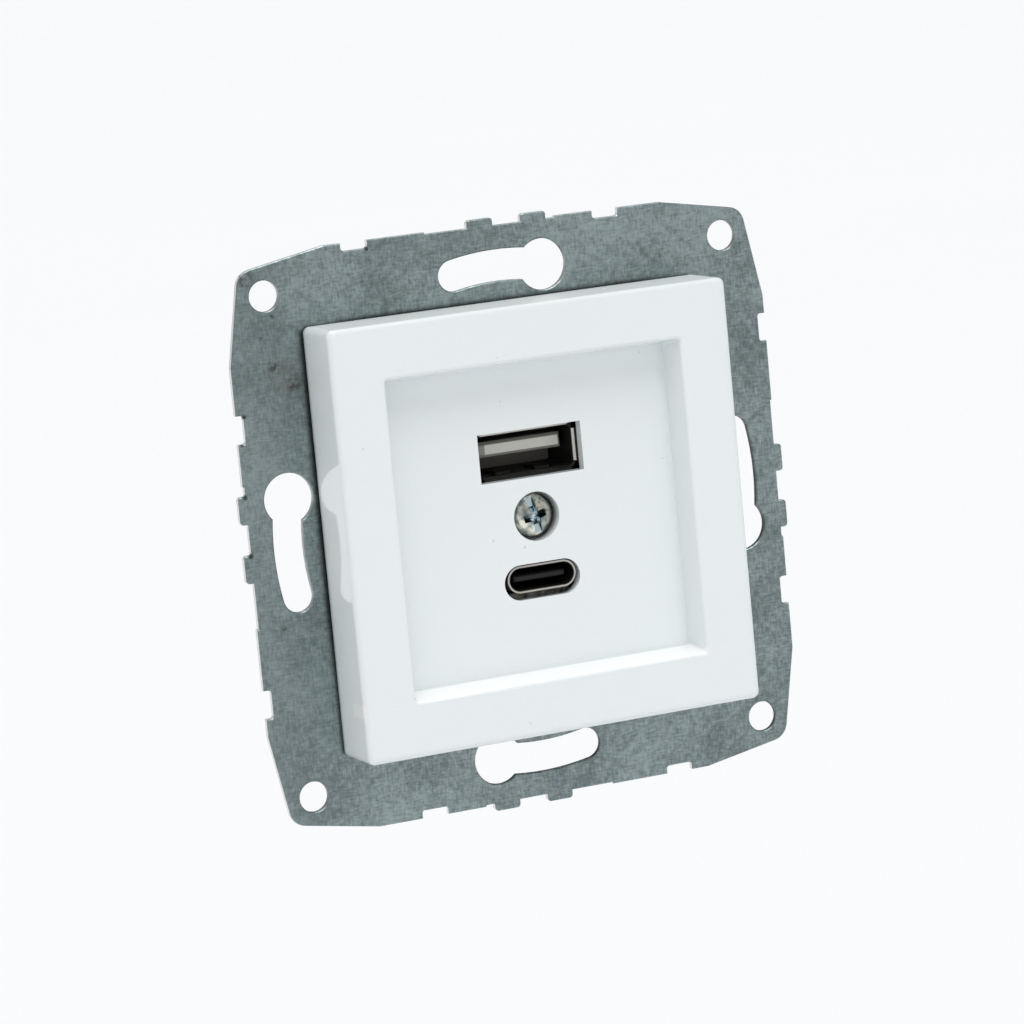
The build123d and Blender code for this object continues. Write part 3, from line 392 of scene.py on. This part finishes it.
# %% [markdown]
# ## The two ports
# Only the lips of the larger shell are polished by plugs. Further in, painted shade makes the plating dark,
# and the lower lip and the right lip's front end are painted dark as shade too. A second solid could carry
# the dark part, but here each place is found by its depth behind the front and by its height, so the finish
# follows the solid from every side.

# %% Shade the larger shell
# a near black used as painted shade in both port shells
shade_black = rgb(0.012, 0.012, 0.010)
shell_front = side("usb_a_shell", "Y", min)
lip_end = shell_front + 0.5 * mm
lower_lip = 5.4 * mm
right_lip = 6.0 * mm


def shaded_lips(metal, tone):
    x, y, z = metal.axes()
    # painted shade: near black behind the lips, on the lower lip and at the right lip's front end
    behind = metal.between(y, lip_end - 0.1 * mm, lip_end)
    low = 1 - metal.between(z, lower_lip - 0.1 * mm, lower_lip)
    end_face = 1 - metal.between(y, shell_front + 0.05 * mm, shell_front + 0.11 * mm)
    end = metal.between(x, right_lip, right_lip + 0.1 * mm) * end_face
    return metal.blend(larger(larger(behind, low), end), tone, shade_black)


large_shell = plated("large_port_shell", rgb(0.86, 0.84, 0.76), rgb(0.93, 0.91, 0.83), 0.4,
                     shaded_lips, relief=0.05, metallic=0.3)
dress(large_shell, "usb_a_shell")

# %% [markdown]
# The smaller shell is a drawn tube with round ends, and only its front rim is bright. Outside it is mottled
# and dark, and inside it is painted near black as shade, which also narrows the rim. The distance from the
# tube's middle line tells inside from outside: it is measured from a straight stretch, so it goes round both
# ends.

# %% Shade the smaller shell
rim_front = side("usb_c_shell", "Y", min)
rim_top = side("usb_c_shell", "Z", max)
rim_bottom = side("usb_c_shell", "Z", min)
rim_middle = (rim_top + rim_bottom) / 2
rim_outer = (rim_top - rim_bottom) / 2
rim_straight = side("usb_c_shell", "X", max) - rim_outer
rim_inner = rim_outer - 0.19 * mm


def thin_rim(metal, tone):
    x, y, z = metal.axes()
    beyond = larger((x ** 2) ** 0.5 - rim_straight, 0.0)
    out = (beyond ** 2 + (z - rim_middle) ** 2) ** 0.5
    behind = metal.between(y, rim_front + 0.05 * mm, rim_front + 0.12 * mm)
    mottle = metal.blend(metal.noise(1500, detail=3.0), rgb(0.02, 0.02, 0.018), rgb(0.07, 0.068, 0.06))
    tone = metal.blend(behind, tone, mottle)
    # painted shade: the shell's inside and the inner part of its rim go near black
    return metal.blend(1 - metal.between(out, rim_inner - 0.04 * mm, rim_inner), tone, shade_black)


small_shell = plated("small_port_shell", rgb(0.42, 0.40, 0.36), rgb(0.47, 0.45, 0.41), 0.35,
                     thin_rim, relief=0.2, metallic=0.3)
dress(small_shell, "usb_c_shell")
# painted shade: the contacts deep in the smaller port are painted nearly black
dress(plated("dark_contacts", rgb(0.05, 0.042, 0.03), rgb(0.09, 0.075, 0.05), 0.4), "usb_c_contacts")

# %% [markdown]
# ## The cover screw
# A slot and a cross are punched into one domed head. Their shallow floors show the plating's pale blue film
# together with a painted reflection, their walls and deep parts get painted shade, painted glints light the
# middle, and painted shade makes a ring where the head meets its well, wider on the side away from the light.
# The punched faces could be picked one by one, but their depth below the dome finds them all.

# %% Shade the screw
dome_top = -5.2 * mm
head_height = 1.15 * mm
head_radius = 2.75 * mm
dome_curve = head_height / head_radius ** 2
screw_turn = radians(13)
slot_half = 0.4 * mm
glint_places = [(0.45, 0.45, 0.85), (0.2, -0.5, 0.75)]


def punched_head(metal, tone):
    x, y, z = metal.axes()
    below = y - dome_top - dome_curve * (x ** 2 + z ** 2)
    across = x * cos(screw_turn) + z * sin(screw_turn)
    wall = metal.between((across ** 2) ** 0.5, slot_half, slot_half + 0.08 * mm)
    deep = metal.between(below + 0.8 * mm * metal.noise(2200), 1.15 * mm, 1.4 * mm)
    glint = metal.between(metal.noise(1900, detail=1.0, location=(0.4, 0, 0.7)), 0.5, 0.56)
    # painted highlights: glints at two places in the middle of the head
    glint_spots = marks(metal, glint_places)
    # painted shade on the walls and deep parts; the pale blue on shallow floors is the film with a painted
    # reflection
    shaded = larger(wall, deep * (1 - 0.8 * glint)) * (1 - 0.85 * glint_spots)
    film_and_reflection = metal.blend(shaded, rgb(0.40, 0.50, 0.53), rgb(0.06, 0.085, 0.085))
    film_and_reflection = metal.blend(glint_spots * glint, film_and_reflection, rgb(0.80, 0.92, 0.95))
    tarnish = metal.between(metal.noise(1000, location=(0.3, 0, 0.1)), 0.5, 0.6)
    tone = metal.blend(tarnish * 0.75, tone, rgb(0.17, 0.215, 0.225))
    off_middle = ((x + 0.2 * mm) ** 2 + (z - 0.1 * mm) ** 2) ** 0.5
    # painted shade: a dark ring at the head's edge, wider on the right
    shade_ring = metal.between(off_middle, 2.3 * mm, head_radius)
    tone = metal.blend(shade_ring * 0.9, tone, rgb(0.04, 0.05, 0.052))
    return metal.blend(metal.between(below, 0.08 * mm, 0.16 * mm), tone, film_and_reflection)


screw_zinc = plated("cover_screw_zinc", rgb(0.20, 0.245, 0.255), rgb(0.78, 0.77, 0.66), 0.14, punched_head)
dress(screw_zinc, "cover_screw")

# %% [markdown]
# ## Moulded plastics
# The housing, cap, insulators and component bodies are moulded too, but dull: the mould is spark-eroded, and
# that leaves a fine even grain. A second function makes that family from a colour and a grain. The housing's
# flange under the smaller port has a pale mottled patch, where it can be seen through the cover's window.

# %% A dull moulding
def moulded(name, dark, light, roughness, grains=1800.0, relief=0.01, shade=None):
    plastic = Finish(name)
    grain = plastic.noise(grains)
    tone = plastic.blend(plastic.noise(90), dark, light)
    if shade:
        tone = shade(plastic, tone)
    plastic.surface(Base_Color=tone, Roughness=roughness + 0.12 * grain,
                    Normal=plastic.bump(grain, relief * mm, 0.5))
    return plastic


flange_front = side("module_housing", "Y", min)
sill_reach = 4.2 * mm
sill_top = -9.2 * mm


def pale_sill(plastic, tone):
    x, y, z = plastic.axes()
    in_front = 1 - plastic.between(y, flange_front + 0.1 * mm, flange_front + 0.2 * mm)
    beside = 1 - plastic.between(x ** 2, sill_reach ** 2, (sill_reach + 0.7 * mm) ** 2)
    below = 1 - plastic.between(z, sill_top - 0.2 * mm, sill_top)
    sill_speckle = plastic.between(plastic.noise(1500, detail=3.0), 0.35, 0.65)
    sill_tone = plastic.blend(sill_speckle, rgb(0.22, 0.22, 0.19), rgb(0.68, 0.67, 0.60))
    # a pale mottled patch on the flange under the smaller port
    return plastic.blend(in_front * beside * below, tone, sill_tone)


dress(moulded("black_housing", rgb(0.012, 0.012, 0.013), rgb(0.02, 0.02, 0.021), 0.42, shade=pale_sill),
      "black_plastic")
dress(moulded("dark_tongue", rgb(0.004, 0.004, 0.005), rgb(0.016, 0.016, 0.018), 0.62, grains=900.0),
      "dark_insulator")
dress(moulded("terminal_grey", rgb(0.42, 0.43, 0.42), rgb(0.48, 0.49, 0.48), 0.4), "terminal_plastic")
dress(moulded("coil_former", rgb(0.05, 0.05, 0.05), rgb(0.075, 0.075, 0.075), 0.4), "bobbin_plastic")
dress(moulded("moulded_chip", rgb(0.02, 0.02, 0.021), rgb(0.032, 0.032, 0.034), 0.5), "chip_package")
dress(moulded("can_sleeve", rgb(0.03, 0.04, 0.09), rgb(0.05, 0.065, 0.13), 0.3), "capacitor_sleeve")
dress(moulded("fuse_lacquer", rgb(0.18, 0.28, 0.2), rgb(0.25, 0.36, 0.27), 0.28), "fuse_body")
dress(moulded("disc_lacquer", rgb(0.06, 0.18, 0.42), rgb(0.09, 0.24, 0.5), 0.25), "ceramic_disc")
dress(moulded("fired_ceramic", rgb(0.42, 0.33, 0.24), rgb(0.55, 0.45, 0.34), 0.4), "chip_ceramic")
dress(moulded("sintered_ferrite", rgb(0.045, 0.045, 0.05), rgb(0.075, 0.075, 0.08), 0.55,
              grains=2600.0, relief=0.02), "ferrite")

# %% [markdown]
# The larger port's tongue is a light grey, but light reaches only its front end. Its bevel looks down into
# the shell and gets painted shade, as its left end does, and behind that a deeper painted shade takes over.
# Each face could have a material of its own, but a colour that fades with depth in two steps needs only one.

# %% Finish the larger tongue
tongue = Finish("grey_tongue")
reach, depth, _ = tongue.axes()
tongue_front = side("usb_a_tongue", "Y", min)
tongue_left = -4.5 * mm
front_tone = tongue.blend(tongue.noise(300), rgb(0.68, 0.67, 0.61), rgb(0.76, 0.75, 0.69))
bevel = tongue.between(depth - tongue_front, 0.02 * mm, 0.08 * mm)
left_end = 1 - tongue.between(reach, tongue_left, tongue_left + 0.1 * mm)
# painted shade on the bevel and on the left end
tongue_tone = tongue.blend(larger(bevel, left_end), front_tone, rgb(0.32, 0.31, 0.28))
# painted shade that deepens behind the front
depth_shade = tongue.between(depth - tongue_front, 0.45 * mm, 1.2 * mm)
tongue.surface(Base_Color=tongue.blend(depth_shade, tongue_tone, rgb(0.22, 0.21, 0.19)),
               Roughness=0.4 + 0.3 * depth_shade, Normal=tongue.bump(tongue.noise(1800), 0.01 * mm, 0.4))
dress(tongue, "grey_insulator")

# %% [markdown]
# ## Boards, tape and wire
# Inside the module the boards are green solder mask over copper. A drawn layout would need a picture, so the
# copper is flooded areas from a slow noise and straight lanes from two waves, one of which rules on each side
# of a second noise.

# %% Finish the boards
board = Finish("solder_mask")
lanes = {}
for direction in ("X", "Z"):
    waves = board.node("ShaderNodeTexWave", {"bands_direction": direction}, {
        "Vector": board.mapped((240, 240, 240)), "Scale": 1.0}, "Fac")
    lanes[direction] = board.between(waves, 0.80, 0.86)
flood = board.between(board.noise(150, detail=0.0), 0.52, 0.53)
field = board.between(board.noise(110, detail=0.0, location=(7, 0, 3)), 0.5, 0.505)
tracks = larger(flood, field * lanes["X"] + (1 - field) * lanes["Z"])
mask_tone = board.blend(board.noise(300), rgb(0.012, 0.09, 0.035), rgb(0.02, 0.12, 0.05))
board.surface(Base_Color=board.blend(tracks, mask_tone, rgb(0.045, 0.2, 0.08)),
              Roughness=0.34 - 0.08 * tracks, Normal=board.bump(tracks, 0.03 * mm, 0.6))
dress(board, "circuit_board")

# %% [markdown]
# The transformer's winding is wrapped in yellow tape, and the inductor is wound with enamelled copper. The
# turns could be modelled as coils, but they are fine and hidden, so a saw wave draws the tape's overlaps and
# a sine wave the round backs of the wire.

# %% Finish the tape and the wire
tape = Finish("lapped_tape")
laps = tape.node("ShaderNodeTexWave", {"bands_direction": "Z", "wave_profile": "SAW"}, {
    "Vector": tape.mapped((420, 420, 420)), "Scale": 0.32, "Distortion": 0.4})
tape.surface(Base_Color=tape.blend(laps, rgb(0.62, 0.42, 0.03), rgb(0.74, 0.55, 0.07)),
             Roughness=0.22 + 0.1 * laps, Normal=tape.bump(laps, 0.03 * mm, 0.6))
dress(tape, "winding_tape")

wire = Finish("enamelled_wire")
turns = wire.node("ShaderNodeTexWave", {"bands_direction": "Y", "wave_profile": "SIN"}, {
    "Vector": wire.mapped((1000, 1000, 1000)), "Scale": 0.9, "Distortion": 0.3})
wire.surface(Base_Color=wire.blend(turns, rgb(0.22, 0.07, 0.03), rgb(0.62, 0.27, 0.11)), Metallic=0.9,
             Roughness=0.26 + 0.1 * turns, Normal=wire.bump(turns, 0.06 * mm, 0.8))
dress(wire, "copper_winding")

# %% [markdown]
# ## The floor's finish
# A pale matt floor fills the picture behind the socket. A world colour alone could do that, but a floor also
# sends light up to the socket's underside, as the paper in a studio does.

# %% Finish the floor
ground = Finish("pale_ground")
paper = ground.blend(ground.noise(2.0), rgb(0.868, 0.877, 0.893), rgb(0.882, 0.891, 0.907))
ground.surface(Base_Color=paper, Roughness=0.9)
floor.data.materials.append(ground.material)
print("floor finish", ground.material.name)

# %% [markdown]
# ## The light
# The photograph was lit all round, as in a light tent, so the sky is nearly even, with a little more light
# from above and from the left. Several lamps could do the same, but their edges would show in the glossy
# cover, so the sky's strength follows the direction of the ray.

# %% Brighten the sky
sky_lean = (-0.15, 0.0, 0.05)
sky_level = 0.525
world = bpy.data.worlds.new("soft_sky")
bpy.context.scene.world = world
world.use_nodes = True
sky = Graph(world.node_tree)
way = sky.node("ShaderNodeTexCoord", output="Generated")
lean = sky.node("ShaderNodeVectorMath", {"operation": "DOT_PRODUCT"}, {0: way, 1: sky_lean}, "Value")
background = sky.tree.nodes["Background"]
sky.feed(background.inputs["Strength"], lean + sky_level)
sky.feed(background.inputs["Color"], rgb(1.0, 1.0, 1.0))
print("sky", sky_level, "strong at the horizon in front")

# %% [markdown]
# One broad lamp high in front adds the brighter upper edges and the shadow at the top of the sunk field. An
# area lamp would do so too, but its place and size would have to be kept out of every view, so it is a sun
# with a wide angle.

# %% Hang the lamp
key_way = Vector((0.0, 0.36, -0.93))
key_data = bpy.data.lights.new("key_light", "SUN")
key_data.angle = radians(45)
key_data.energy = 1.85
key = bpy.data.objects.new("key_light", key_data)
bpy.context.collection.objects.link(key)
key.matrix_world = key_way.to_track_quat("-Z", "Y").to_matrix().to_4x4()
bpy.context.scene.view_settings.view_transform = "Standard"
print("key light", key_data.energy, "over", round(key_data.angle, 2), "radians")
